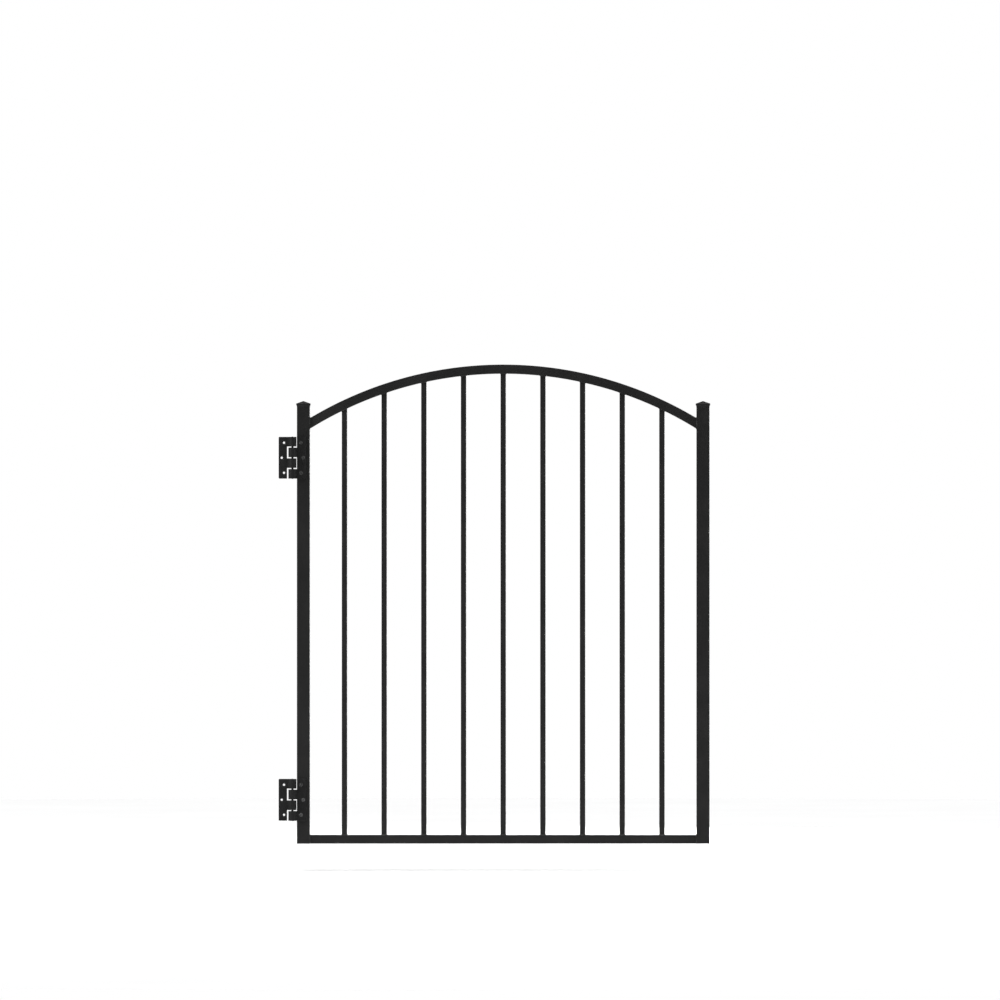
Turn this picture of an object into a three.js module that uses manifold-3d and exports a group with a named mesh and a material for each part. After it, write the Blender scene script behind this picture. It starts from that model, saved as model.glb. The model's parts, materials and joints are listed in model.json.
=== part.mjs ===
// Arched garden gate: a welded frame of square aluminium tube with nine pickets, hung on two
// four-knuckle butt hinges that are screwed to the front of the hinge stile.
//
// Millimetres. +X runs from the hinge side to the latch side, +Y away from the front, +Z up.
// The origin is on the back face of the lower hinge's post leaf, where the gate post holds it.
// The gate is closed, with both hinges open flat.

import * as THREE from "three";
import { mergeVertices } from "three/addons/utils/BufferGeometryUtils.js";
import Module from "manifold-3d";

const wasm = await Module();
wasm.setup();

// ---------------------------------------------------------------- driving dimensions

const INCH = 25.4;

const GATE_WIDTH = 48 * INCH; // over the two stiles
const STILE_HEIGHT = 1288; // tube alone, under its cap
const STILE_SIZE = 1.5 * INCH;
const STILE_WALL = 1.6;

const RAIL_SIZE = 1 * INCH; // bottom rail, and the top rail from front to back
const TOP_RAIL_DEPTH = 27; // across the arch
const RAIL_WALL = 1.6;
const ARCH_CROWN = 1416; // top of the arch above the stile feet
const ARCH_SPRINGING = 1258; // top of the arch where it meets the stiles
const ARCH_STEPS = 40;

const PICKET_COUNT = 9;
const PICKET_SIZE = 0.625 * INCH;
const PICKET_WALL = 1.3;
const PICKET_PITCH = 117.3;

const CORNER_RADIUS = 0.8; // outside corners of every extruded tube

const CAP_OVERHANG = 2.05; // of the eaves past the stile
const CAP_STRAIGHT = 1; // of the neck, under the cove
const CAP_COVE_TOP = 8.3;
const CAP_EAVES = 12.7;
const CAP_PEAK = 20.3;
const SPIGOT_LENGTH = 14; // of a cap or a foot plug inside the stile
const SPIGOT_WALL = 2;
const PLUG_FLOOR = 3;

const LOWER_HINGE_HEIGHT = 130; // middle of the hinge above the stile feet
const UPPER_HINGE_HEIGHT = 1140.5;
const AXIS_TO_STILE = 13; // pin axis to the outer side of the hinge stile
const AXIS_TO_MOUNT = 22; // pin axis to the origin, on solid plate beside the middle hole

const HINGE_HEIGHT = 123.4;
const KNUCKLE_COUNT = 4;
const KNUCKLE_GAP = 3.2;
const BARREL_RADIUS = 12; // its back is level with the back of the leaves
const LEAF_THICKNESS = 5;
const LEAF_REACH = 40.9; // pin axis to the leaf's outer edge
const LEAF_CORNER = 3;
const LEAF_SLOT = 4.1; // between a knuckle and the plate of the other leaf
const BARREL_FILLET = 3; // between the barrel and the plate's front
const KNUCKLE_OVERLAP = 1; // of a knuckle's section into the plate it is cast with

const PIN_RADIUS = 2.5;
const PIN_PROUD = 0.9; // of each end past the outer knuckles
const PIN_DOME = 0.6;
const SPACER_RADIUS = 3.3;

const SCREW_HOLE_RADIUS = 3.25;
const SCREW_SHANK_RADIUS = 2.6;
const SCREW_LENGTH = 19;
const SCREW_HEAD_RADIUS = 5.6;
const SCREW_SOCKET_RADIUS = 2.3; // to the corners of the six-sided drive
const SCREW_SOCKET_DEPTH = 2.2;
const SCREW_TIP = 3;
const PILOT_RADIUS = 2.9; // hole through the stile's front wall
// Hole centres on a leaf: distance from the pin axis, height from the hinge's middle.
const SCREW_PLACES = { top: [25.1, 44.4], middle: [31.8, 0], bottom: [25.1, -44.4] };

// Flat sides that stand for a round one.
const PIN_SIDES = 24;
const SCREW_SIDES = 20;
const COPE_SIDES = 720; // of the whole circle under the arch

const WELD_GAP = 0.3; // root gap that weld metal fills
const SEAT_GAP = 0.1; // paint between faces that are clamped together
const PIN_CLEARANCE = 0.08; // radial, pin in knuckles and spacers
const SLIDE_CLEARANCE = 0.2; // around a spigot in its tube, and a screw head in its countersink

// ---------------------------------------------------------------- derived dimensions

const SPAN = GATE_WIDTH - 2 * STILE_SIZE; // between the stiles
const RISE = ARCH_CROWN - ARCH_SPRINGING;
const ARCH_RADIUS = ((SPAN / 2) ** 2 + RISE ** 2) / (2 * RISE); // outside of the arch
const ARCH_CENTRE = ARCH_CROWN - ARCH_RADIUS;
const STILE_BORE = STILE_SIZE - 2 * STILE_WALL;
const SPIGOT_SIZE = STILE_BORE - 2 * SLIDE_CLEARANCE;
const KNUCKLE_HEIGHT =
  (HINGE_HEIGHT - (KNUCKLE_COUNT - 1) * KNUCKLE_GAP) / KNUCKLE_COUNT;
const KNUCKLE_PITCH = KNUCKLE_HEIGHT + KNUCKLE_GAP;
const PLATE_INNER = BARREL_RADIUS + LEAF_SLOT;
const BORE_RADIUS = PIN_RADIUS + PIN_CLEARANCE;
const COUNTERSINK_RADIUS = SCREW_HEAD_RADIUS + SLIDE_CLEARANCE;

// ---------------------------------------------------------------- materials

const powderCoat = new THREE.MeshStandardMaterial({
  color: 0x272727,
  roughness: 0.42,
  metalness: 0.1,
});
const castCoat = new THREE.MeshStandardMaterial({
  color: 0x232424,
  roughness: 0.55,
  metalness: 0.1,
});
const blackenedSteel = new THREE.MeshStandardMaterial({
  color: 0x2c2c2e,
  roughness: 0.38,
  metalness: 0.8,
});
const blackNylon = new THREE.MeshStandardMaterial({
  color: 0x1c1c1c,
  roughness: 0.6,
  metalness: 0,
});

// ---------------------------------------------------------------- solids and booleans

// A closed three.js geometry as a manifold-3d solid.
function toSolid(geometry) {
  const bare = geometry.clone();
  bare.deleteAttribute("normal");
  bare.deleteAttribute("uv");
  const merged = mergeVertices(bare);
  return new wasm.Manifold(
    new wasm.Mesh({
      numProp: 3,
      vertProperties: merged.attributes.position.array,
      triVerts: new Uint32Array(merged.index.array),
    }),
  );
}

// A manifold-3d solid back as a flat-shaded geometry.
function toGeometry(solid) {
  const mesh = solid.getMesh();
  const indexed = new THREE.BufferGeometry();
  indexed.setAttribute(
    "position",
    new THREE.BufferAttribute(mesh.vertProperties, mesh.numProp),
  );
  indexed.setIndex(new THREE.BufferAttribute(mesh.triVerts, 1));
  const geometry = indexed.toNonIndexed();
  geometry.computeVertexNormals();
  return geometry;
}

// The first geometry with the others taken away.
function cut(geometry, ...tools) {
  const solid = tools.reduce(
    (rest, tool) => rest.subtract(toSolid(tool)),
    toSolid(geometry),
  );
  return toGeometry(solid);
}

function join(...geometries) {
  return toGeometry(geometries.map(toSolid).reduce((all, one) => all.add(one)));
}

function intersect(a, b) {
  return toGeometry(toSolid(a).intersect(toSolid(b)));
}

function addMesh(group, name, geometry, material) {
  const mesh = new THREE.Mesh(geometry, material);
  mesh.name = name;
  group.add(mesh);
  return mesh;
}

// ---------------------------------------------------------------- profiles

// A rectangle about the origin with rounded corners.
function roundedRectangle(width, depth, radius) {
  const x = width / 2 - radius;
  const y = depth / 2 - radius;
  const quarter = Math.PI / 2;
  const shape = new THREE.Shape();
  shape.absarc(x, y, radius, 0, quarter);
  shape.absarc(-x, y, radius, quarter, 2 * quarter);
  shape.absarc(-x, -y, radius, 2 * quarter, 3 * quarter);
  shape.absarc(x, -y, radius, 3 * quarter, 4 * quarter);
  return shape;
}

// The section of an extruded tube: small outside corners and a square bore.
function tubeSection(width, depth, wall) {
  const section = roundedRectangle(width, depth, CORNER_RADIUS);
  const x = width / 2 - wall;
  const y = depth / 2 - wall;
  section.holes.push(
    new THREE.Path([
      new THREE.Vector2(x, y),
      new THREE.Vector2(x, -y),
      new THREE.Vector2(-x, -y),
      new THREE.Vector2(-x, y),
    ]),
  );
  return section;
}

// A straight piece of a section, standing on z = 0.
function upright(section, length, curveSegments = 3) {
  return new THREE.ExtrudeGeometry(section, {
    depth: length,
    bevelEnabled: false,
    curveSegments,
  });
}

// A cylinder standing on z = 0.
function rod(radius, length, segments) {
  return new THREE.CylinderGeometry(radius, radius, length, segments)
    .rotateX(Math.PI / 2)
    .translate(0, 0, length / 2);
}

// ---------------------------------------------------------------- welded frame
// Its own coordinates: x from the gate's middle, y from the tubes' middle, z from the stile feet.

// The bent line through the middle of the top rail, run a little way into both stiles.
class RailArc extends THREE.Curve {
  constructor() {
    super();
    this.radius = ARCH_RADIUS - TOP_RAIL_DEPTH / 2;
    this.halfAngle = Math.asin((SPAN / 2 + STILE_SIZE / 2) / this.radius);
  }
  getPoint(t, target = new THREE.Vector3()) {
    const angle = (2 * t - 1) * this.halfAngle;
    return target.set(
      this.radius * Math.sin(angle),
      0,
      ARCH_CENTRE + this.radius * Math.cos(angle),
    );
  }
}

function archedTopRail() {
  const bent = new THREE.ExtrudeGeometry(
    tubeSection(RAIL_SIZE, TOP_RAIL_DEPTH, RAIL_WALL),
    { extrudePath: new RailArc(), steps: ARCH_STEPS, curveSegments: 2 },
  );
  const betweenStiles = new THREE.BoxGeometry(
    SPAN - 2 * WELD_GAP,
    2 * STILE_SIZE,
    2 * ARCH_CROWN,
  );
  return intersect(bent, betweenStiles);
}

function bottomRail() {
  const length = SPAN - 2 * WELD_GAP;
  return upright(tubeSection(RAIL_SIZE, RAIL_SIZE, RAIL_WALL), length)
    .rotateY(Math.PI / 2)
    .translate(-length / 2, 0, RAIL_SIZE / 2);
}

// A picket at x from the gate's middle, with its top coped to the underside of the arch.
function picket(x) {
  const foot = RAIL_SIZE + WELD_GAP;
  const tube = upright(
    tubeSection(PICKET_SIZE, PICKET_SIZE, PICKET_WALL),
    ARCH_CROWN - foot,
  ).translate(x, 0, foot);
  const underArch = new THREE.CylinderGeometry(
    ARCH_RADIUS - TOP_RAIL_DEPTH - WELD_GAP,
    ARCH_RADIUS - TOP_RAIL_DEPTH - WELD_GAP,
    2 * PICKET_SIZE,
    COPE_SIDES,
  ).translate(0, 0, ARCH_CENTRE);
  return intersect(tube, underArch);
}

// The hinge stile has pilot holes in its front wall for the gate leaves' screws.
function hingeStile() {
  const tube = upright(tubeSection(STILE_SIZE, STILE_SIZE, STILE_WALL), STILE_HEIGHT);
  const pilots = [];
  for (const height of [LOWER_HINGE_HEIGHT, UPPER_HINGE_HEIGHT])
    for (const [fromAxis, rise] of Object.values(SCREW_PLACES))
      pilots.push(
        rod(PILOT_RADIUS, 2 * STILE_WALL, SCREW_SIDES)
          .rotateX(Math.PI / 2)
          .translate(
            fromAxis - AXIS_TO_STILE - STILE_SIZE / 2,
            -STILE_SIZE / 2 + STILE_WALL * 1.5,
            height + rise,
          ),
      );
  return cut(tube, ...pilots);
}

function latchStile() {
  return upright(tubeSection(STILE_SIZE, STILE_SIZE, STILE_WALL), STILE_HEIGHT);
}

// A square turned solid: a four-sided lathe of half-widths and heights, faces along x and y.
function squareLathe(points) {
  const turned = points.map(
    ([halfWidth, height]) => new THREE.Vector2(halfWidth * Math.SQRT2, height),
  );
  return new THREE.LatheGeometry(turned, 4, Math.PI / 4).rotateX(Math.PI / 2);
}

// A cast pyramid cap: a coved neck, upright eaves and a low pyramid, on a hollow spigot.
function stileCap() {
  const neck = STILE_SIZE / 2;
  const eaves = neck + CAP_OVERHANG;
  const cove = new THREE.QuadraticBezierCurve(
    new THREE.Vector2(neck, CAP_STRAIGHT),
    new THREE.Vector2(neck, CAP_COVE_TOP - CAP_STRAIGHT),
    new THREE.Vector2(eaves, CAP_COVE_TOP),
  );
  const head = squareLathe([
    [0, 0],
    [neck, 0],
    ...cove.getPoints(4).map((p) => [p.x, p.y]),
    [eaves, CAP_EAVES],
    [0, CAP_PEAK],
  ]);
  const spigot = upright(
    tubeSection(SPIGOT_SIZE, SPIGOT_SIZE, SPIGOT_WALL),
    SPIGOT_LENGTH + CAP_STRAIGHT,
  ).translate(0, 0, -SPIGOT_LENGTH);
  return join(head, spigot);
}

// A moulded plug inside the foot of a stile, level with its end.
function footPlug() {
  const body = upright(
    roundedRectangle(SPIGOT_SIZE, SPIGOT_SIZE, CORNER_RADIUS),
    SPIGOT_LENGTH,
  );
  const inside = SPIGOT_SIZE - 2 * SPIGOT_WALL;
  const hollow = new THREE.BoxGeometry(inside, inside, SPIGOT_LENGTH).translate(
    0,
    0,
    SPIGOT_LENGTH / 2 + PLUG_FLOOR,
  );
  return cut(body, hollow);
}

function weldedFrame() {
  const frame = new THREE.Group();
  const stiles = { hinge: [-1, hingeStile()], latch: [1, latchStile()] };
  for (const [side, [sign, geometry]] of Object.entries(stiles)) {
    const x = (sign * (GATE_WIDTH - STILE_SIZE)) / 2;
    addMesh(frame, `${side}_stile`, geometry, powderCoat).position.x = x;
    addMesh(frame, `${side}_stile_cap`, stileCap(), castCoat).position.set(
      x,
      0,
      STILE_HEIGHT + SEAT_GAP,
    );
    addMesh(frame, `${side}_stile_plug`, footPlug(), blackNylon).position.x = x;
  }
  addMesh(frame, "arched_top_rail", archedTopRail(), powderCoat);
  addMesh(frame, "bottom_rail", bottomRail(), powderCoat);
  for (let i = 0; i < PICKET_COUNT; i++) {
    const x = (i - (PICKET_COUNT - 1) / 2) * PICKET_PITCH;
    addMesh(frame, `picket_${i + 1}`, picket(x), powderCoat);
  }
  return frame;
}

// ---------------------------------------------------------------- hinges
// Their own coordinates: x and z from the middle of the pin, y from the back of the leaves.

// The section of a knuckle: the barrel's circle joined to its leaf by the plate and a fillet.
function knuckleSection() {
  const front = -LEAF_THICKNESS;
  // The fillet touches the plate's front and the barrel's circle from outside.
  const filletY = front - BARREL_FILLET;
  const reach = BARREL_RADIUS + BARREL_FILLET;
  const filletX = Math.sqrt(reach ** 2 - (filletY + BARREL_RADIUS) ** 2);
  const touch = Math.atan2(filletY + BARREL_RADIUS, filletX);
  const shape = new THREE.Shape();
  shape.moveTo(0, 0);
  shape.absarc(0, -BARREL_RADIUS, BARREL_RADIUS, Math.PI / 2, touch + 2 * Math.PI);
  shape.absarc(filletX, filletY, BARREL_FILLET, touch + Math.PI, Math.PI / 2, true);
  shape.lineTo(PLATE_INNER + KNUCKLE_OVERLAP, front);
  shape.lineTo(PLATE_INNER + KNUCKLE_OVERLAP, 0);
  return shape;
}

// The flat outline of a leaf's plate seen from the front, in x and z.
function plateOutline() {
  const top = HINGE_HEIGHT / 2;
  const x = LEAF_REACH - LEAF_CORNER;
  const z = top - LEAF_CORNER;
  const shape = new THREE.Shape();
  shape.moveTo(PLATE_INNER, -top);
  shape.lineTo(x, -top);
  shape.absarc(x, -z, LEAF_CORNER, -Math.PI / 2, 0);
  shape.absarc(x, z, LEAF_CORNER, 0, Math.PI / 2);
  shape.lineTo(PLATE_INNER, top);
  return shape;
}

// A countersunk hole's cutter, with its mouth at the leaf's front and its axis along y.
function countersink() {
  const spare = 1;
  const slope = COUNTERSINK_RADIUS - SCREW_HOLE_RADIUS; // a right-angled cone
  const profile = [
    [0, -LEAF_THICKNESS - spare],
    [SCREW_HOLE_RADIUS, -LEAF_THICKNESS - spare],
    [SCREW_HOLE_RADIUS, -slope],
    [COUNTERSINK_RADIUS, 0],
    [COUNTERSINK_RADIUS, spare],
    [0, spare],
  ].map(([r, depth]) => new THREE.Vector2(r, depth));
  return new THREE.LatheGeometry(profile, SCREW_SIDES)
    .rotateX(Math.PI)
    .translate(0, -LEAF_THICKNESS, 0);
}

// The leaf on the gate: the plate at +X, with the second and fourth knuckles from the top.
// Turned half round about y, the same casting is the leaf on the post.
function hingeLeaf() {
  const plate = upright(plateOutline(), LEAF_THICKNESS, 4).rotateX(Math.PI / 2);
  const solids = [plate];
  for (let k = 1; k < KNUCKLE_COUNT; k += 2) {
    const top = HINGE_HEIGHT / 2 - k * KNUCKLE_PITCH;
    solids.push(
      upright(knuckleSection(), KNUCKLE_HEIGHT, 12).translate(0, 0, top - KNUCKLE_HEIGHT),
    );
  }
  const bore = rod(BORE_RADIUS, 2 * HINGE_HEIGHT, PIN_SIDES).translate(
    0,
    -BARREL_RADIUS,
    -HINGE_HEIGHT,
  );
  const holes = Object.values(SCREW_PLACES).map(([x, z]) =>
    countersink().translate(x, 0, z),
  );
  return cut(join(...solids), bore, ...holes);
}

function hingePin() {
  const end = HINGE_HEIGHT / 2 + PIN_PROUD;
  const profile = [
    [0, -end],
    [PIN_RADIUS - PIN_DOME, -end],
    [PIN_RADIUS, PIN_DOME - end],
    [PIN_RADIUS, end - PIN_DOME],
    [PIN_RADIUS - PIN_DOME, end],
    [0, end],
  ].map(([r, z]) => new THREE.Vector2(r, z));
  return new THREE.LatheGeometry(profile, PIN_SIDES).rotateX(Math.PI / 2);
}

// A thrust spacer that carries one knuckle on the next.
function spacer() {
  const half = KNUCKLE_GAP / 2 - SEAT_GAP;
  const profile = [
    [BORE_RADIUS, -half],
    [SPACER_RADIUS, -half],
    [SPACER_RADIUS, half],
    [BORE_RADIUS, half],
    [BORE_RADIUS, -half],
  ].map(([r, z]) => new THREE.Vector2(r, z));
  return new THREE.LatheGeometry(profile, PIN_SIDES).rotateX(Math.PI / 2);
}

// A flat-head screw driven from the front: its head's face is at y = 0 and its tip at +Y.
function screw() {
  const cone = SCREW_HEAD_RADIUS - SCREW_SHANK_RADIUS; // a right-angled cone
  const profile = [
    [0, 0],
    [SCREW_HEAD_RADIUS, 0],
    [SCREW_SHANK_RADIUS, cone],
    [SCREW_SHANK_RADIUS, SCREW_LENGTH - SCREW_TIP],
    [0, SCREW_LENGTH],
  ].map(([r, depth]) => new THREE.Vector2(r, depth));
  const blank = new THREE.LatheGeometry(profile, SCREW_SIDES);
  const socket = new THREE.CylinderGeometry(
    SCREW_SOCKET_RADIUS,
    SCREW_SOCKET_RADIUS,
    2 * SCREW_SOCKET_DEPTH,
    6,
  );
  return cut(blank, socket);
}

function hinge(name) {
  const group = new THREE.Group();
  addMesh(group, `${name}_gate_leaf`, hingeLeaf(), castCoat);
  addMesh(group, `${name}_post_leaf`, hingeLeaf(), castCoat).rotation.y = Math.PI;
  addMesh(group, `${name}_hinge_pin`, hingePin(), blackenedSteel).position.y =
    -BARREL_RADIUS;
  ["top", "middle", "bottom"].forEach((level, i) => {
    addMesh(group, `${name}_hinge_spacer_${level}`, spacer(), blackNylon).position.set(
      0,
      -BARREL_RADIUS,
      (1 - i) * KNUCKLE_PITCH,
    );
  });
  for (const [level, [x, z]] of Object.entries(SCREW_PLACES))
    addMesh(group, `${name}_leaf_screw_${level}`, screw(), blackenedSteel).position.set(
      x,
      -LEAF_THICKNESS,
      z,
    );
  return group;
}

// ---------------------------------------------------------------- the gate on its hinges

const gardenGate = new THREE.Group();

const frame = weldedFrame();
frame.position.set(
  AXIS_TO_MOUNT + AXIS_TO_STILE + GATE_WIDTH / 2,
  STILE_SIZE / 2 + SEAT_GAP,
  -LOWER_HINGE_HEIGHT,
);
gardenGate.add(frame);

const hingeHeights = { lower: LOWER_HINGE_HEIGHT, upper: UPPER_HINGE_HEIGHT };
for (const [name, height] of Object.entries(hingeHeights)) {
  const group = hinge(name);
  group.position.set(AXIS_TO_MOUNT, 0, height - LOWER_HINGE_HEIGHT);
  gardenGate.add(group);
}

export default gardenGate;
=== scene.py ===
# Arched garden gate on its two hinges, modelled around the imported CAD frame.
# Metres. +X runs from the hinges to the latch side, +Y away from the viewer, +Z up.
import json
import math

import bmesh
import bpy
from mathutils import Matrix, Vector, noise

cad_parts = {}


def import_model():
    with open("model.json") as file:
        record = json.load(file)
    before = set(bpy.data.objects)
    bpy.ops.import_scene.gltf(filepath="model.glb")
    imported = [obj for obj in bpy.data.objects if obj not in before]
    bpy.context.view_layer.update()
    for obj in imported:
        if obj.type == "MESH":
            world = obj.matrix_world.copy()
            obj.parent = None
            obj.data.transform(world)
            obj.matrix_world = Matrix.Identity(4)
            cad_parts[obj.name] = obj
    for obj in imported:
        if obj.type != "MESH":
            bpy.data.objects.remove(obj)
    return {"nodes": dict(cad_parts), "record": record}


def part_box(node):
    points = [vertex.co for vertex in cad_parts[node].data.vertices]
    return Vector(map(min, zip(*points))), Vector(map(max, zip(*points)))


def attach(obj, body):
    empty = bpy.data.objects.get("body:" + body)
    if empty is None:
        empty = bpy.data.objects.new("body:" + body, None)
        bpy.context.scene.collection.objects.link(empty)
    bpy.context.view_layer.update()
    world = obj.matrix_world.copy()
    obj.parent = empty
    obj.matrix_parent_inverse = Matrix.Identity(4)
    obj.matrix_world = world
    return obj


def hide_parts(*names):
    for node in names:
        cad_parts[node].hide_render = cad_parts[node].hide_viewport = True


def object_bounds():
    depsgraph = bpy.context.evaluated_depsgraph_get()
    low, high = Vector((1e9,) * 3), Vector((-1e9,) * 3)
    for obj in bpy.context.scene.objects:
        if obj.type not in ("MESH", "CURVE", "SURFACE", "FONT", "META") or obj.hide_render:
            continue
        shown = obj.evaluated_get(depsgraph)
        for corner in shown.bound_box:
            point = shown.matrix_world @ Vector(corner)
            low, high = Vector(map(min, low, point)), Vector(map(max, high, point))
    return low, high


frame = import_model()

cad_low, cad_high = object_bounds()

MM = 0.001

# ---------------------------------------------------------------- dimensions

RAIL_WALL = 1.6 * MM
PICKET_WALL = 1.3 * MM
TUBE_CORNER = 0.8 * MM  # outside corners of the extruded tubes
TOP_RAIL_DEPTH = 27 * MM
WELD_GAP = 0.3 * MM  # root gap at the ends of rails and pickets
PICKET_COUNT = 9

CAP_SPIGOT = 14 * MM  # how far a cap or plug reaches into its stile
CAP_COVE_TOP = 8.3 * MM
CAP_EAVES = 12.7 * MM
SPIGOT_WALL = 2 * MM
PLUG_FLOOR = 3 * MM

RAIL_BEAD_LEG = 2.4 * MM  # legs of the fillets round the rails' ends
PICKET_BEAD_LEG = 1.7 * MM
BEAD_RIPPLE = 1.5 * MM  # from one ripple of a weld to the next
BEAD_STATIONS = 4  # cross-sections in each ripple

PIN_BORE = 2.58 * MM  # radius of the spacers' bores
PIN_SIDES = 32  # of pins and spacers
SCREW_SIDES = 30
CASTING_ROUND = 0.45 * MM  # radius of the leaves' rounded edges

BODY_OF = {
    node: body
    for body, nodes in frame["record"]["behaviour"]["bodies"].items()
    for node in nodes
}


# The arch, from its box: the crown is at the top, and the underside of each end at the bottom.
arch_low, arch_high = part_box("arched_top_rail")
ARCH_X = (arch_low.x + arch_high.x) / 2
ARCH_Y = (arch_low.y + arch_high.y) / 2
ARCH_HALF = (arch_high.x - arch_low.x) / 2
ARCH_RISE = arch_high.z - TOP_RAIL_DEPTH - arch_low.z
UNDER_RADIUS = (ARCH_RISE**2 + ARCH_HALF**2) / (2 * ARCH_RISE)
ARCH_CENTRE = arch_high.z - TOP_RAIL_DEPTH - UNDER_RADIUS


def arch_height(x, radius):
    """Height at x of the circle of that radius about the arch's centre."""
    return ARCH_CENTRE + math.sqrt(radius**2 - (x - ARCH_X) ** 2)


# ---------------------------------------------------------------- materials


class Shader:
    """A new material and short calls for the nodes that its surface is made of."""

    def __init__(self, name):
        self.material = bpy.data.materials.new(name)
        self.material.use_nodes = True
        self.tree = self.material.node_tree
        self.tree.nodes.clear()
        self.surface = self.node("ShaderNodeBsdfPrincipled")
        output = self.node("ShaderNodeOutputMaterial")
        self.tree.links.new(self.surface.outputs["BSDF"], output.inputs["Surface"])
        self.place = self.node("ShaderNodeTexCoord").outputs["Object"]

    def node(self, kind, **inputs):
        made = self.tree.nodes.new(kind)
        for name, value in inputs.items():
            self.feed(made.inputs[name], value)
        return made

    def feed(self, socket, value):
        if isinstance(value, bpy.types.NodeSocket):
            self.tree.links.new(value, socket)
        else:
            socket.default_value = value

    def set(self, **inputs):
        """Feeds the surface shader's sockets, named with _ for each space."""
        for name, value in inputs.items():
            self.feed(self.surface.inputs[name.replace("_", " ")], value)

    def noise(self, feature, detail=2.0, stretch=(1, 1, 1)):
        """Noise from 0 to 1 whose features are about that many metres across."""
        scale = [1 / factor for factor in stretch]
        mapping = self.node("ShaderNodeMapping", Vector=self.place, Scale=scale)
        made = self.node("ShaderNodeTexNoise", Scale=1 / feature, Detail=detail)
        self.tree.links.new(mapping.outputs["Vector"], made.inputs["Vector"])
        return made.outputs["Fac"]

    def remap(self, value, low, high, to_low=0.0, to_high=1.0):
        """A value that eases from to_low to to_high as the given one goes from low to high."""
        made = self.node("ShaderNodeMapRange")
        made.interpolation_type = "SMOOTHSTEP"
        for name, given in (
            ("Value", value),
            ("From Min", low),
            ("From Max", high),
            ("To Min", to_low),
            ("To Max", to_high),
        ):
            self.feed(made.inputs[name], given)
        return made.outputs["Result"]

    def math(self, operation, a, b):
        made = self.node("ShaderNodeMath")
        made.operation = operation
        self.feed(made.inputs[0], a)
        self.feed(made.inputs[1], b)
        return made.outputs["Value"]

    def plus(self, base, value, share):
        """base with that share of value added."""
        return self.math("ADD", base, self.math("MULTIPLY", value, share))

    def mix(self, factor, a, b):
        """Colour a at factor 0 and b at factor 1."""
        made = self.node("ShaderNodeMix")
        made.data_type = "RGBA"
        self.feed(made.inputs["Factor"], factor)
        self.feed(made.inputs[6], a)
        self.feed(made.inputs[7], b)
        return made.outputs[2]

    def tint(self, base, colour, mask, strength):
        """The base colour, turned towards another by that strength where the mask is 1."""
        return self.mix(self.math("MULTIPLY", mask, strength), base, colour)

    def bump(self, height, distance, under=None):
        """A normal for relief that is distance high, on top of the relief under it."""
        made = self.node("ShaderNodeBump", Height=height, Distance=distance)
        if under is not None:
            self.tree.links.new(under, made.inputs["Normal"])
        return made.outputs["Normal"]

    def edges(self):
        """1 on the crests of rounded edges and 0 on the faces beside them."""
        made = self.node("ShaderNodeAttribute")
        made.attribute_name = "edge"
        return made.outputs["Fac"]

    def upward(self):
        """How far the surface faces up: 1 on top, 0 on the sides and below."""
        split = self.node("ShaderNodeSeparateXYZ")
        geometry = self.node("ShaderNodeNewGeometry")
        self.tree.links.new(geometry.outputs["Normal"], split.inputs["Vector"])
        return self.remap(split.outputs["Z"], 0.55, 0.98)


def grey(level, warmth=0.0):
    """A linear grey; warmth above 0 leans to brown and below 0 to blue."""
    return (level * (1 + warmth), level, level * (1 - warmth), 1.0)


DUST = grey(0.2, 0.12)


def mottle(s, feature, detail, dark, light):
    """A colour that drifts between two tones, in patches about feature across."""
    return s.mix(s.remap(s.noise(feature, detail), 0.35, 0.68), dark, light)


def rubbed_edges(s, feature, detail, low, high):
    """A mask of rubbed places along edges, where noise passes from low to high."""
    return s.math("MULTIPLY", s.edges(), s.remap(s.noise(feature, detail), low, high))


def settled_dust(s, feature, most):
    """How much dust lies on faces that look up, in patches about feature across."""
    patches = s.remap(s.noise(feature, detail=5), 0.38, 0.72)
    return s.math("MULTIPLY", s.math("MULTIPLY", s.upward(), patches), most)


def powder_coat(name, level, roughness, peel):
    """Satin black powder coat: orange peel, faint mottle, thin bright edges and settled dust.

    level is the coat's linear grey, and peel the height of its orange peel in metres.
    """
    s = Shader(name)
    worn = rubbed_edges(s, 16 * MM, 4, 0.5, 0.66)
    specks = s.remap(s.noise(2.4 * MM, detail=0), 0.77, 0.8)
    dust = settled_dust(s, 20 * MM, most=0.09)
    blotches = s.noise(22 * MM, detail=4)
    grain = s.noise(0.7 * MM, detail=1)
    peel_wave = s.noise(2.1 * MM, detail=1)

    coat = mottle(s, 90 * MM, 3, grey(level * 0.86), grey(level * 1.16, 0.01))
    coat = s.tint(coat, grey(0.11), worn, 0.6)
    coat = s.tint(coat, grey(0.11, 0.05), specks, 0.12)
    coat = s.mix(dust, coat, DUST)

    rough = s.remap(blotches, 0.3, 0.7, roughness - 0.025, roughness + 0.03)
    rough = s.plus(rough, grain, 0.05)
    rough = s.plus(rough, worn, -0.1)
    rough = s.plus(rough, dust, 1.4)

    normal = s.bump(grain, 0.008 * MM)
    normal = s.bump(peel_wave, peel, under=normal)
    s.set(Base_Color=coat, Roughness=rough, Normal=normal, Specular_IOR_Level=0.2)
    return s.material


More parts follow.
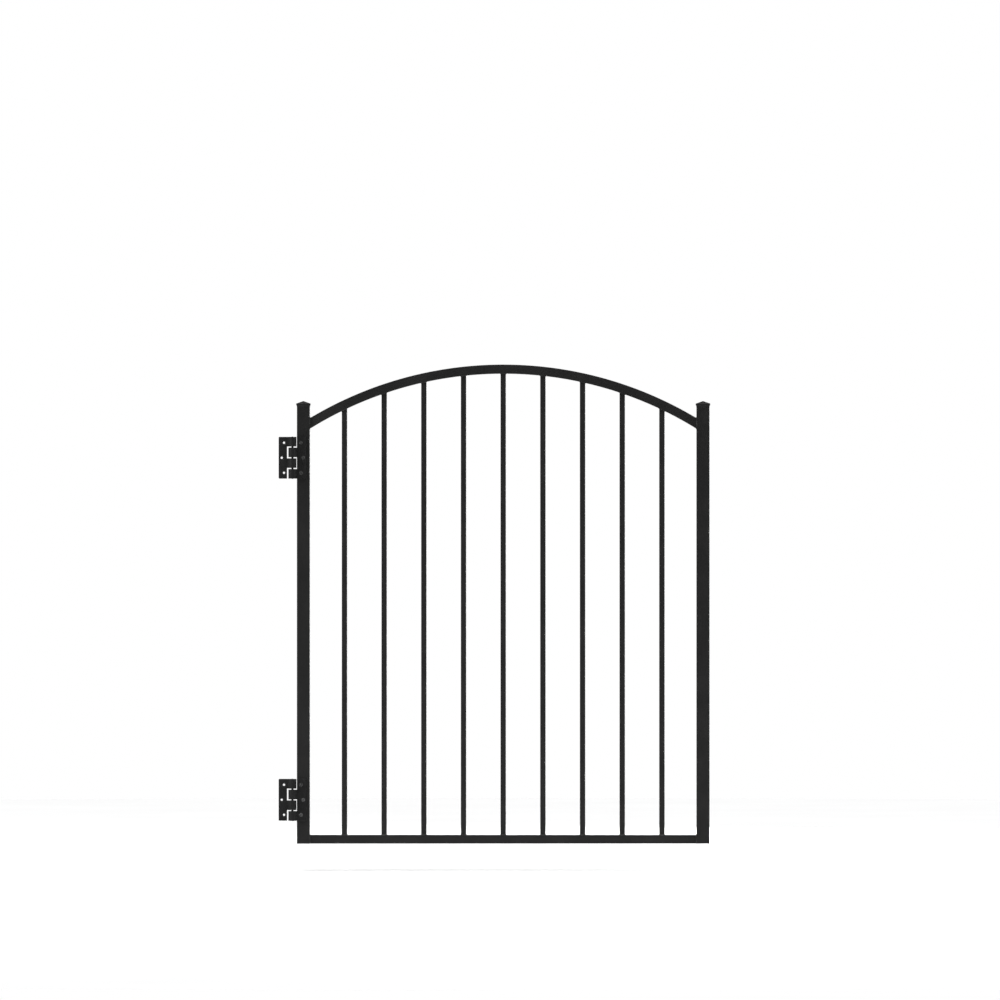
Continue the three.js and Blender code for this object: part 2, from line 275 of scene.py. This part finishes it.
def cast_coat(name):
    """The same coat over a sand-textured casting, a little blacker and rougher."""
    s = Shader(name)
    worn = rubbed_edges(s, 7 * MM, 4, 0.46, 0.62)
    dust = settled_dust(s, 8 * MM, most=0.08)
    sand = s.noise(0.9 * MM, detail=2)
    pits = s.remap(s.noise(2.8 * MM, detail=1), 0.2, 0.44)

    coat = mottle(s, 25 * MM, 4, grey(0.0095), grey(0.0125, -0.01))
    coat = s.tint(coat, grey(0.095), worn, 0.6)
    coat = s.mix(dust, coat, DUST)

    rough = s.remap(sand, 0.3, 0.7, 0.46, 0.58)
    rough = s.plus(rough, worn, -0.12)
    rough = s.plus(rough, dust, 1.2)

    normal = s.bump(sand, 0.07 * MM)
    normal = s.bump(pits, 0.07 * MM, under=normal)
    s.set(Base_Color=coat, Roughness=rough, Normal=normal, Specular_IOR_Level=0.15)
    return s.material


def blackened_steel(name):
    """Black-oxide steel with fine turning marks and rubbed spots."""
    s = Shader(name)
    marks = s.noise(0.4 * MM, detail=2, stretch=(6, 6, 1))
    cloud = s.remap(s.noise(4 * MM, detail=4), 0.35, 0.7)
    rubbed = rubbed_edges(s, 3 * MM, 3, 0.4, 0.6)

    metal = s.mix(cloud, grey(0.035, -0.05), grey(0.075, 0.03))
    metal = s.mix(rubbed, metal, grey(0.3))

    rough = s.remap(marks, 0.3, 0.7, 0.28, 0.42)
    rough = s.plus(rough, cloud, 0.08)

    s.set(Base_Color=metal, Roughness=rough, Normal=s.bump(marks, 0.006 * MM))
    s.set(Metallic=0.85)
    return s.material


def black_nylon(name):
    """Moulded black nylon, matte with a fine spark-eroded grain."""
    s = Shader(name)
    grain = s.noise(0.6 * MM, detail=2)
    cloud = s.remap(s.noise(6 * MM, detail=3), 0.35, 0.7)
    plastic = s.mix(cloud, grey(0.012), grey(0.019, 0.03))
    rough = s.remap(grain, 0.3, 0.7, 0.5, 0.66)
    s.set(Base_Color=plastic, Roughness=rough, Normal=s.bump(grain, 0.02 * MM))
    return s.material


TUBE_COAT = powder_coat("tube_powder_coat", level=0.0115, roughness=0.4, peel=0.07 * MM)
WELD_COAT = powder_coat("weld_powder_coat", level=0.011, roughness=0.37, peel=0.02 * MM)
CAST_COAT = cast_coat("cast_powder_coat")
STEEL = blackened_steel("blackened_steel")
NYLON = black_nylon("black_nylon")

# ---------------------------------------------------------------- mesh helpers

SHARP = math.radians(38)  # an edge turning more than this shows as an edge


def add_piece(name, bm, material, body, node=None):
    """Makes a finished bmesh a piece that rides on a body and may stand for a CAD node."""
    bmesh.ops.recalc_face_normals(bm, faces=bm.faces)
    for face in bm.faces:
        face.smooth = True
    for edge in bm.edges:
        edge.smooth = edge.calc_face_angle(0) < SHARP
    mesh = bpy.data.meshes.new(name)
    bm.to_mesh(mesh)
    bm.free()
    piece = bpy.data.objects.new(name, mesh)
    bpy.context.scene.collection.objects.link(piece)
    mesh.materials.append(material)
    weighted = piece.modifiers.new("even_normals", "WEIGHTED_NORMAL")
    weighted.keep_sharp = True
    weighted.weight = 90  # of 100: large faces keep their own normals
    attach(piece, body)
    if node is not None:
        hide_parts(node)


def edge_layer(bm):
    """The mark on each vertex that says how much of an edge's crest it is, for wear."""
    return bm.verts.layers.float.get("edge") or bm.verts.layers.float.new("edge")


def bridge(bm, loops, closed=False):
    """Quads between each loop of vertices and the next."""
    pairs = list(zip(loops, loops[1:]))
    if closed:
        pairs.append((loops[-1], loops[0]))
    for one, two in pairs:
        count = len(one)
        for i in range(count):
            j = (i + 1) % count
            bm.faces.new((one[i], one[j], two[j], two[i]))


def rounded_outline(width, depth, radius, steps=4):
    """Points round a rectangle: (a, b, the normal's a and b, 1 on the crest of a corner)."""
    points = []
    for quadrant in range(4):
        a_side = 1 if quadrant in (0, 3) else -1
        b_side = 1 if quadrant in (0, 1) else -1
        for i in range(steps + 1):
            angle = (quadrant + i / steps) * math.pi / 2
            na, nb = math.cos(angle), math.sin(angle)
            a = a_side * (width / 2 - radius) + radius * na
            b = b_side * (depth / 2 - radius) + radius * nb
            points.append((a, b, na, nb, float(0 < i < steps)))
    return points


def circle(radius, count=PIN_SIDES):
    turns = [2 * math.pi * i / count for i in range(count)]
    return [(radius * math.cos(t), radius * math.sin(t)) for t in turns]


def hexagon(radius, count):
    """A hexagon of that corner radius, with its points spread evenly in angle."""
    inner = radius * math.cos(math.pi / 6)
    points = []
    for i in range(count):
        turn = 2 * math.pi * i / count
        reach = inner / math.cos(turn % (math.pi / 3) - math.pi / 6)
        points.append((reach * math.cos(turn), reach * math.sin(turn)))
    return points


def square(half, radius=TUBE_CORNER):
    """Points (a, b) round a square, with corners no rounder than a small one can take."""
    radius = min(radius, half * 0.6)
    return [(a, b) for a, b, *_ in rounded_outline(2 * half, 2 * half, radius)]


def stack(name, node, levels, place, material, ring=False):
    """A closed solid, for a CAD node, through outlines: levels are (outline, height, edge mark).

    place turns (a, b, height) into a point of the frame. The last level is capped, as the first
    is, or in a ring it joins on to the first.
    """
    bm = bmesh.new()
    edge = edge_layer(bm)
    loops = []
    for outline, height, mark in levels:
        loop = [bm.verts.new(place(a, b, height)) for a, b in outline]
        for vertex in loop:
            vertex[edge] = mark
        loops.append(loop)
    bridge(bm, loops, closed=ring)
    if not ring:
        bm.faces.new(loops[0])
        bm.faces.new(loops[-1])
    add_piece(name, bm, material, BODY_OF[node], node)


# ---------------------------------------------------------------- tubes


def tube(node, width, depth, wall, place, stations=(0.0, 1.0)):
    """A square tube that stands for a CAD node.

    place turns (a, b, t) into a point: a and b across the tube, t from 0 to 1 along it.
    """
    bm = bmesh.new()
    edge = edge_layer(bm)
    outline = rounded_outline(width, depth, TUBE_CORNER)
    per_corner = len(outline) // 4
    bore_a, bore_b = width / 2 - wall, depth / 2 - wall
    bore = [(bore_a, bore_b), (-bore_a, bore_b), (-bore_a, -bore_b), (bore_a, -bore_b)]
    outside, inside = [], []
    for t in stations:
        skin = []
        for a, b, _, _, crest in outline:
            vertex = bm.verts.new(place(a, b, t))
            vertex[edge] = crest
            skin.append(vertex)
        outside.append(skin)
        inside.append([bm.verts.new(place(a, b, t)) for a, b in bore])
    bridge(bm, outside)
    bridge(bm, inside)
    for skin, hole in ((outside[0], inside[0]), (outside[-1], inside[-1])):
        # Each end is closed by four faces, from the middle of one rounded corner to the next.
        for corner in range(4):
            following = (corner + 1) % 4
            start = corner * per_corner + per_corner // 2
            run = [skin[(start + i) % len(skin)] for i in range(per_corner + 1)]
            bm.faces.new([*run, hole[following], hole[corner]])
    add_piece(f"{node}_tube", bm, TUBE_COAT, BODY_OF[node], node)


def stile(node):
    low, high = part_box(node)
    centre = (low + high) / 2
    size = high - low

    def place(a, b, t):
        return Vector((centre.x + a, centre.y + b, low.z + t * size.z))

    tube(node, size.x, size.y, RAIL_WALL, place)


def bottom_rail():
    low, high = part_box("bottom_rail")
    centre = (low + high) / 2
    size = high - low

    def place(a, b, t):
        return Vector((low.x + t * size.x, centre.y + a, centre.z + b))

    tube("bottom_rail", size.y, size.z, RAIL_WALL, place)


ARCH_MIDDLE_RADIUS = UNDER_RADIUS + TOP_RAIL_DEPTH / 2
ARCH_STEPS = 120


def arch_place(a, b, t):
    """A point of the top rail: a from front to back, b across the bend, t from end to end."""
    reach = math.asin(ARCH_HALF / ARCH_MIDDLE_RADIUS)
    x = ARCH_X + ARCH_MIDDLE_RADIUS * math.sin((2 * t - 1) * reach)
    return Vector((x, ARCH_Y + a, arch_height(x, ARCH_MIDDLE_RADIUS + b)))


def arched_top_rail():
    stations = [i / ARCH_STEPS for i in range(ARCH_STEPS + 1)]
    width = arch_high.y - arch_low.y
    tube("arched_top_rail", width, TOP_RAIL_DEPTH, RAIL_WALL, arch_place, stations)


def picket(node):
    """A picket whose top is coped to the underside of the arch."""
    low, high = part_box(node)
    centre = (low + high) / 2

    def place(a, b, t):
        x = centre.x + a
        top = arch_height(x, UNDER_RADIUS) - WELD_GAP
        return Vector((x, centre.y + b, low.z + t * (top - low.z)))

    tube(node, high.x - low.x, high.y - low.y, PICKET_WALL, place)


# ---------------------------------------------------------------- welds


def spaced(outline, spacing):
    """A closed outline's points, moved to even distances: (a, b, the normal's a and b)."""
    ring = [*outline, outline[0]]
    runs = [math.dist(p[:2], q[:2]) for p, q in zip(ring, ring[1:])]
    count = round(sum(runs) / spacing)
    step = sum(runs) / count
    points, side, passed = [], 0, 0.0
    for i in range(count):
        while side < len(runs) - 1 and passed + runs[side] < i * step:
            passed += runs[side]
            side += 1
        share = (i * step - passed) / runs[side]
        p, q = ring[side], ring[side + 1]
        points.append(tuple(p[k] + share * (q[k] - p[k]) for k in range(4)))
    return points


def weld(name, path, size, closed=True):
    """A rippled fillet weld along a path of (point, way along the base, way along the member).

    Its cross-section is a bulging arc from the base to the member, and a root inside them.
    """
    arc_sides = 5
    roundness = 0.55  # of the arc, between flat at 0 and a quarter circle at 1
    root_depth = 0.2 * MM
    tapered = 3 * BEAD_STATIONS  # stations over which an open weld starts and ends
    bm = bmesh.new()
    edge = edge_layer(bm)
    seed = sum(ord(letter) for letter in name)
    loops = []
    for i, (point, along_base, along_member) in enumerate(path):
        ripple = 0.5 + 0.5 * math.cos(2 * math.pi * i / BEAD_STATIONS)
        wander = noise.noise(Vector((i * 0.035, seed * 1.7, 0.0)))
        leg = size * (0.92 + 0.1 * ripple + 0.14 * wander)
        if not closed:
            ends = min(i, len(path) - 1 - i) / tapered
            leg *= math.sqrt(min(1.0, 0.12 + ends))
        loop = []
        for k in range(arc_sides + 1):
            share = k / arc_sides
            turn = share * math.pi / 2
            u = leg * (roundness * math.cos(turn) + (1 - roundness) * (1 - share))
            v = leg * (roundness * math.sin(turn) + (1 - roundness) * share)
            vertex = bm.verts.new(point + u * along_base + v * along_member)
            vertex[edge] = 0.25 * ripple if 0 < k < arc_sides else 0.0
            loop.append(vertex)
        root = point - root_depth * (along_base + along_member)
        loop.append(bm.verts.new(root))
        loops.append(loop)
    bridge(bm, loops, closed)
    if not closed:
        bm.faces.new(loops[0])
        bm.faces.new(loops[-1])
    add_piece(name, bm, WELD_COAT, "gate")


def picket_welds(node):
    """The beads round a picket's foot and round its coped head."""
    low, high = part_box(node)
    centre = (low + high) / 2
    up = Vector((0, 0, 1))
    rail_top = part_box("bottom_rail")[1].z
    outline = rounded_outline(high.x - low.x, high.y - low.y, TUBE_CORNER, steps=6)
    foot, head = [], []
    for a, b, na, nb in spaced(outline, BEAD_RIPPLE / BEAD_STATIONS):
        out = Vector((na, nb, 0)).normalized()
        x = centre.x + a
        foot.append((Vector((x, centre.y + b, rail_top)), out, up))
        under = Vector((x, centre.y + b, arch_height(x, UNDER_RADIUS)))
        radial = Vector((x - ARCH_X, 0, under.z - ARCH_CENTRE)).normalized()
        along_arch = (out - out.dot(radial) * radial).normalized()
        head.append((under, along_arch, -up))
    weld(f"weld_{node}_foot", foot, PICKET_BEAD_LEG)
    weld(f"weld_{node}_head", head, PICKET_BEAD_LEG)


def bottom_rail_weld(side, face_x, inward):
    """Up the front of the rail's end, over its top and down its back."""
    low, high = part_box("bottom_rail")
    centre = (low + high) / 2
    size = high - low
    outline = rounded_outline(size.y, size.z, TUBE_CORNER, steps=6)
    path = []
    for a, b, na, nb in spaced(outline, BEAD_RIPPLE / BEAD_STATIONS):
        if b > -size.z / 2 + 1.5 * TUBE_CORNER:
            out = Vector((0, na, nb)).normalized()
            path.append((Vector((face_x, centre.y + a, centre.z + b)), out, inward))
    # The path starts and ends where the rail's underside was left out.
    gap = max(range(len(path)), key=lambda i: (path[i][0] - path[i - 1][0]).length)
    weld(f"weld_bottom_rail_{side}", path[gap:] + path[:gap], RAIL_BEAD_LEG, closed=False)


def top_rail_weld(side, face_x, t, inward):
    """All round the top rail's end at t, against the stile's face."""
    outline = rounded_outline(arch_high.y - arch_low.y, TOP_RAIL_DEPTH, TUBE_CORNER, steps=6)
    path = []
    for a, b, na, nb in spaced(outline, BEAD_RIPPLE / BEAD_STATIONS):
        point = arch_place(a, b, t)
        radial = Vector((point.x - ARCH_X, 0, point.z - ARCH_CENTRE)).normalized()
        tangent = Vector((radial.z, 0, -radial.x)) * inward
        out = Vector((0, na, nb)).normalized()
        point.x = face_x
        path.append((point, out, tangent))
    weld(f"weld_top_rail_{side}", path, RAIL_BEAD_LEG)


# ---------------------------------------------------------------- caps and plugs


def stile_cap(node, tube_node):
    """A cast cap: spigot, coved neck, upright eaves and a low pyramid."""
    low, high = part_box(node)
    centre = (low + high) / 2
    base = low.z + CAP_SPIGOT
    peak = high.z - base
    neck = (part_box(tube_node)[1].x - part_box(tube_node)[0].x) / 2
    eaves = (high.x - low.x) / 2
    clearance = 0.2 * MM  # of the spigot inside the stile
    spigot = neck - RAIL_WALL - clearance
    hollow = spigot - SPIGOT_WALL
    roof = 1 * MM  # solid metal between the spigot's hollow and the neck
    lip = 1 * MM  # height of the straight neck under the cove
    ease = 0.2 * MM  # bevel along the neck's lower edge
    soft = 0.5 * MM  # rounding of the eaves
    corner = 1.1 * MM  # rounding of the upright corners
    ridge = 0.9 * MM  # rounding of the pyramid's ridges
    cove_steps = 8
    levels = [
        (square(hollow), -roof, 0.0),
        (square(hollow), -CAP_SPIGOT, 0.0),
        (square(spigot), -CAP_SPIGOT, 0.0),
        (square(spigot), 0.0, 0.0),
        (square(neck - ease), 0.0, 0.0),
        (square(neck), ease, 0.4),
    ]
    for i in range(1, cove_steps + 1):
        t = i / cove_steps
        rise = lip + (CAP_COVE_TOP - lip) * (1 - (1 - t) ** 1.25)
        half = neck + (eaves - neck) * t**2
        levels.append((square(half, corner), rise, 0.0))
    levels.append((square(eaves, corner), CAP_EAVES - soft, 0.0))
    levels.append((square(eaves - 0.12 * soft, corner), CAP_EAVES - 0.35 * soft, 1.0))
    levels.append((square(eaves - 0.5 * soft, corner), CAP_EAVES + 0.1 * soft, 1.0))
    slope = (peak - CAP_EAVES) / eaves
    # Up the pyramid, to a blunt peak a millimetre across.
    for inset in (1.2 * soft, eaves * 0.35, eaves * 0.7, eaves - 1.4 * MM, eaves - 0.5 * MM):
        height = CAP_EAVES + slope * inset
        levels.append((square(eaves - inset, ridge), height - 0.02 * soft, 0.0))

    def place(a, b, height):
        return Vector((centre.x + a, centre.y + b, base + min(height, peak)))

    stack(f"{node}_casting", node, levels, place, CAST_COAT)


def foot_plug(node):
    """A nylon plug: a dished floor level with the stile's foot and a thin skirt above it."""
    low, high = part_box(node)
    centre = (low + high) / 2
    half = (high.x - low.x) / 2
    length = high.z - low.z
    hollow = half - SPIGOT_WALL
    dish = 0.8 * MM  # depth of the hollow in the middle of the floor
    levels = [
        (square(half * 0.55), dish, 0.0),
        (square(half * 0.62), 0.1 * MM, 0.5),
        (square(half * 0.66), 0.0, 0.5),
        (square(half - 0.5 * MM), 0.0, 0.0),
        (square(half - 0.1 * MM), 0.15 * MM, 1.0),
        (square(half), 0.5 * MM, 0.0),
        (square(half), length, 0.0),
        (square(hollow), length, 0.0),
        (square(hollow), PLUG_FLOOR, 0.0),
    ]

    def place(a, b, height):
        return Vector((centre.x + a, centre.y + b, low.z + height))

    stack(f"{node}_moulding", node, levels, place, NYLON)


# ---------------------------------------------------------------- hinges


def refill_flats(bm, kept):
    """Fills each flat area again from its outline and holes, so that none is left folded.

    Faces in kept stay, and so do four-sided ones, such as the facets of knuckles and holes.
    """
    planes = {}
    for face in bm.faces:
        if face in kept or len(face.verts) == 4:
            continue
        facing = tuple(round(c, 3) for c in face.normal)
        offset = round(face.normal.dot(face.verts[0].co), 5)
        planes.setdefault((facing, offset), set()).add(face)
    for (facing, _), faces in planes.items():
        edges = {edge for face in faces for edge in face.edges}
        outline = [e for e in edges if not all(f in faces for f in e.link_faces)]
        inside = [e for e in edges if all(f in faces for f in e.link_faces)]
        bmesh.ops.delete(bm, geom=list(faces), context="FACES_ONLY")
        bmesh.ops.delete(bm, geom=inside, context="EDGES")
        bmesh.ops.triangle_fill(bm, edges=outline, use_beauty=True, normal=facing)
    loose = [vertex for vertex in bm.verts if not vertex.link_faces]
    bmesh.ops.delete(bm, geom=loose, context="VERTS")


def leaf(node):
    """The CAD leaf with its flat faces made whole and its outer edges rounded."""
    bm = bmesh.new()
    bm.from_mesh(frame["nodes"][node].data)
    edge = edge_layer(bm)
    same_place = 0.002 * MM
    same_plane = math.radians(0.5)
    bmesh.ops.remove_doubles(bm, verts=bm.verts, dist=same_place)
    bmesh.ops.dissolve_limit(bm, angle_limit=same_plane, verts=bm.verts, edges=bm.edges)
    sharp = [e for e in bm.edges if e.is_convex and e.calc_face_angle(0) > SHARP]
    rounded = bmesh.ops.bevel(
        bm,
        geom=sharp,
        offset=CASTING_ROUND,
        offset_type="OFFSET",
        segments=3,
        profile=0.5,
        affect="EDGES",
        clamp_overlap=False,
    )
    new_faces = set(rounded["faces"])
    for vertex in rounded["verts"]:
        if all(face in new_faces for face in vertex.link_faces):
            vertex[edge] = 1.0
    refill_flats(bm, new_faces)
    add_piece(f"{node}_casting", bm, CAST_COAT, BODY_OF[node], node)


def turned(node, profile, centre, axis):
    """A turned steel piece: profile is (outline, height, edge mark) along the axis, y or z."""

    def place(a, b, height):
        offset = (a, b, height) if axis == "z" else (a, height, b)
        return centre + Vector(offset)

    stack(f"{node}_turned", node, profile, place, STEEL)


def hinge_pin(node):
    """A pin with a low crown at each end, given as (share of the radius, drop in mm, edge mark)."""
    low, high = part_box(node)
    radius = (high.x - low.x) / 2
    half = (high.z - low.z) / 2
    crown = [(0.35, 0.0, 0.4), (0.7, 0.1, 1.0), (0.9, 0.3, 1.0), (1.0, 0.62, 0.0)]
    profile = []
    for share, drop, mark in crown:
        profile.append((circle(radius * share), drop * MM - half, mark))
    for share, drop, mark in reversed(crown):
        profile.append((circle(radius * share), half - drop * MM, mark))
    turned(node, profile, (low + high) / 2, "z")


def spacer(node):
    """A nylon sleeve round the pin, with its outer edges eased."""
    low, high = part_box(node)
    centre = (low + high) / 2
    outer = (high.x - low.x) / 2
    half = (high.z - low.z) / 2
    soft = 0.15 * MM
    levels = [
        (circle(outer - soft), -half, 0.0),
        (circle(outer), soft - half, 1.0),
        (circle(outer), half - soft, 1.0),
        (circle(outer - soft), half, 0.0),
        (circle(PIN_BORE), half, 0.0),
        (circle(PIN_BORE), -half, 0.0),
    ]

    def place(a, b, height):
        return centre + Vector((a, b, height))

    stack(f"{node}_sleeve", node, levels, place, NYLON, ring=True)


def screw(node):
    """A flat-head screw with a six-sided socket, its head towards the front."""
    low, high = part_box(node)
    head = (high.x - low.x) / 2
    length = high.y - low.y
    shank = 2.6 * MM  # radius
    socket = 2.3 * MM  # corner radius
    socket_depth = 2.2 * MM
    drill_point = 0.4 * MM  # depth of the cone at the socket's bottom, and radius of its end
    rim = 0.3 * MM  # depth of the head's upright edge
    soft = 0.25 * MM  # rounding of the socket's mouth and the head's edge
    point = 3 * MM  # length of the screw's point
    tip = 0.3 * MM  # radius
    profile = [
        (circle(drill_point, SCREW_SIDES), socket_depth + drill_point, 0.0),
        (hexagon(socket, SCREW_SIDES), socket_depth, 0.0),
        (hexagon(socket, SCREW_SIDES), soft, 0.0),
        (circle(socket + soft, SCREW_SIDES), 0.0, 0.6),
        (circle(head - soft, SCREW_SIDES), 0.0, 0.0),
        (circle(head - 0.2 * soft, SCREW_SIDES), 0.28 * soft, 1.0),
        (circle(head, SCREW_SIDES), rim, 0.6),
        (circle(shank, SCREW_SIDES), rim + head - shank, 0.0),
        (circle(shank, SCREW_SIDES), length - point, 0.0),
        (circle(tip, SCREW_SIDES), length, 0.0),
    ]
    centre = (low + high) / 2
    centre.y = low.y
    turned(node, profile, centre, "y")


# ---------------------------------------------------------------- the gate

stile("hinge_stile")
stile("latch_stile")
bottom_rail()
arched_top_rail()
for number in range(1, PICKET_COUNT + 1):
    picket(f"picket_{number}")
    picket_welds(f"picket_{number}")

# Each stile's inner face, the end of the top rail that meets it, and the way into the gate.
stile_faces = {
    "hinge_side": (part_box("hinge_stile")[1].x, 0.0, 1),
    "latch_side": (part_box("latch_stile")[0].x, 1.0, -1),
}
for side, (face_x, t, inward) in stile_faces.items():
    bottom_rail_weld(side, face_x, Vector((inward, 0, 0)))
    top_rail_weld(side, face_x, t, inward)

for side in ("hinge", "latch"):
    stile_cap(f"{side}_stile_cap", f"{side}_stile")
    foot_plug(f"{side}_stile_plug")

for hinge in ("lower", "upper"):
    leaf(f"{hinge}_post_leaf")
    leaf(f"{hinge}_gate_leaf")
    hinge_pin(f"{hinge}_hinge_pin")
    for level in ("top", "middle", "bottom"):
        spacer(f"{hinge}_hinge_spacer_{level}")
        screw(f"{hinge}_leaf_screw_{level}")

# ---------------------------------------------------------------- studio

GROUND_CLEARANCE = 80 * MM  # from the floor to the foot of the gate
FLOOR_RADIUS = 8.0
GATE_MIDDLE = Vector(((cad_low.x + cad_high.x) / 2, 0.0, (cad_low.z + cad_high.z) / 2))


def floor():
    """A wide, pale, plain disc under the gate."""
    bm = bmesh.new()
    bmesh.ops.create_circle(bm, cap_ends=True, radius=FLOOR_RADIUS, segments=96)
    mesh = bpy.data.meshes.new("floor")
    bm.to_mesh(mesh)
    bm.free()
    disc = bpy.data.objects.new("floor", mesh)
    disc.location = (GATE_MIDDLE.x, 0, cad_low.z - GROUND_CLEARANCE)
    bpy.context.scene.collection.objects.link(disc)
    s = Shader("floor_paint")
    cloud = s.remap(s.noise(0.6, detail=3), 0.3, 0.7)
    s.set(Base_Color=s.mix(cloud, grey(0.88), grey(0.9)), Roughness=0.85)
    mesh.materials.append(s.material)


def world():
    """White behind the object, and a dimmer even light on it."""
    made = bpy.data.worlds.new("studio")
    bpy.context.scene.world = made
    made.use_nodes = True
    tree = made.node_tree
    tree.nodes.clear()
    seen = tree.nodes.new("ShaderNodeBackground")
    seen.inputs["Color"].default_value = (1, 1, 1, 1)
    lighting = tree.nodes.new("ShaderNodeBackground")
    lighting.inputs["Color"].default_value = (0.98, 0.99, 1, 1)
    lighting.inputs["Strength"].default_value = 0.1
    rays = tree.nodes.new("ShaderNodeLightPath")
    choice = tree.nodes.new("ShaderNodeMixShader")
    output = tree.nodes.new("ShaderNodeOutputWorld")
    tree.links.new(rays.outputs["Is Camera Ray"], choice.inputs["Fac"])
    tree.links.new(lighting.outputs["Background"], choice.inputs[1])
    tree.links.new(seen.outputs["Background"], choice.inputs[2])
    tree.links.new(choice.outputs["Shader"], output.inputs["Surface"])


def softbox(name, offset, size, watts):
    """An area light at an offset from the gate's middle, aimed at it."""
    lamp = bpy.data.lights.new(name, "AREA")
    lamp.shape = "RECTANGLE"
    lamp.size, lamp.size_y = size
    lamp.energy = watts
    box = bpy.data.objects.new(name, lamp)
    box.location = GATE_MIDDLE + Vector(offset)
    box.rotation_mode = "QUATERNION"
    box.rotation_quaternion = (-Vector(offset)).to_track_quat("-Z", "Y")
    box.visible_camera = False
    bpy.context.scene.collection.objects.link(box)


def overhead():
    """Soft light from nearly straight above, which brings the floor up to white."""
    lamp = bpy.data.lights.new("overhead", "SUN")
    lamp.energy = 3.45
    lamp.angle = math.radians(50)
    sky = bpy.data.objects.new("overhead", lamp)
    sky.rotation_euler = (math.radians(14), math.radians(-6), 0)
    bpy.context.scene.collection.objects.link(sky)


def camera():
    """A long lens, square on to the gate."""
    view_width = 2.9565  # of the picture, at the gate
    gate_right = 9.5 * MM  # the gate's middle is this far right of the picture's
    height = 1015.7 * MM  # of the picture's middle above the stiles' feet
    lens = 400.0
    sensor = 36.0
    data = bpy.data.cameras.new("camera")
    data.lens = lens
    data.sensor_width = sensor
    data.clip_end = 100.0
    made = bpy.data.objects.new("camera", data)
    distance = view_width * lens / sensor
    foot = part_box("hinge_stile")[0].z
    made.location = (ARCH_X - gate_right, ARCH_Y - distance, foot + height)
    made.rotation_euler = (math.pi / 2, 0, 0)
    bpy.context.scene.collection.objects.link(made)
    bpy.context.scene.camera = made


floor()
world()
overhead()
softbox("left_softbox", offset=(-4.2, -2.0, 1.6), size=(0.7, 3.2), watts=90)
softbox("right_softbox", offset=(4.4, -1.1, 0.9), size=(0.5, 3.2), watts=55)
softbox("back_softbox", offset=(1.8, 4.0, 0.0), size=(1.6, 1.6), watts=130)
camera()
bpy.context.scene.view_settings.view_transform = "Standard"
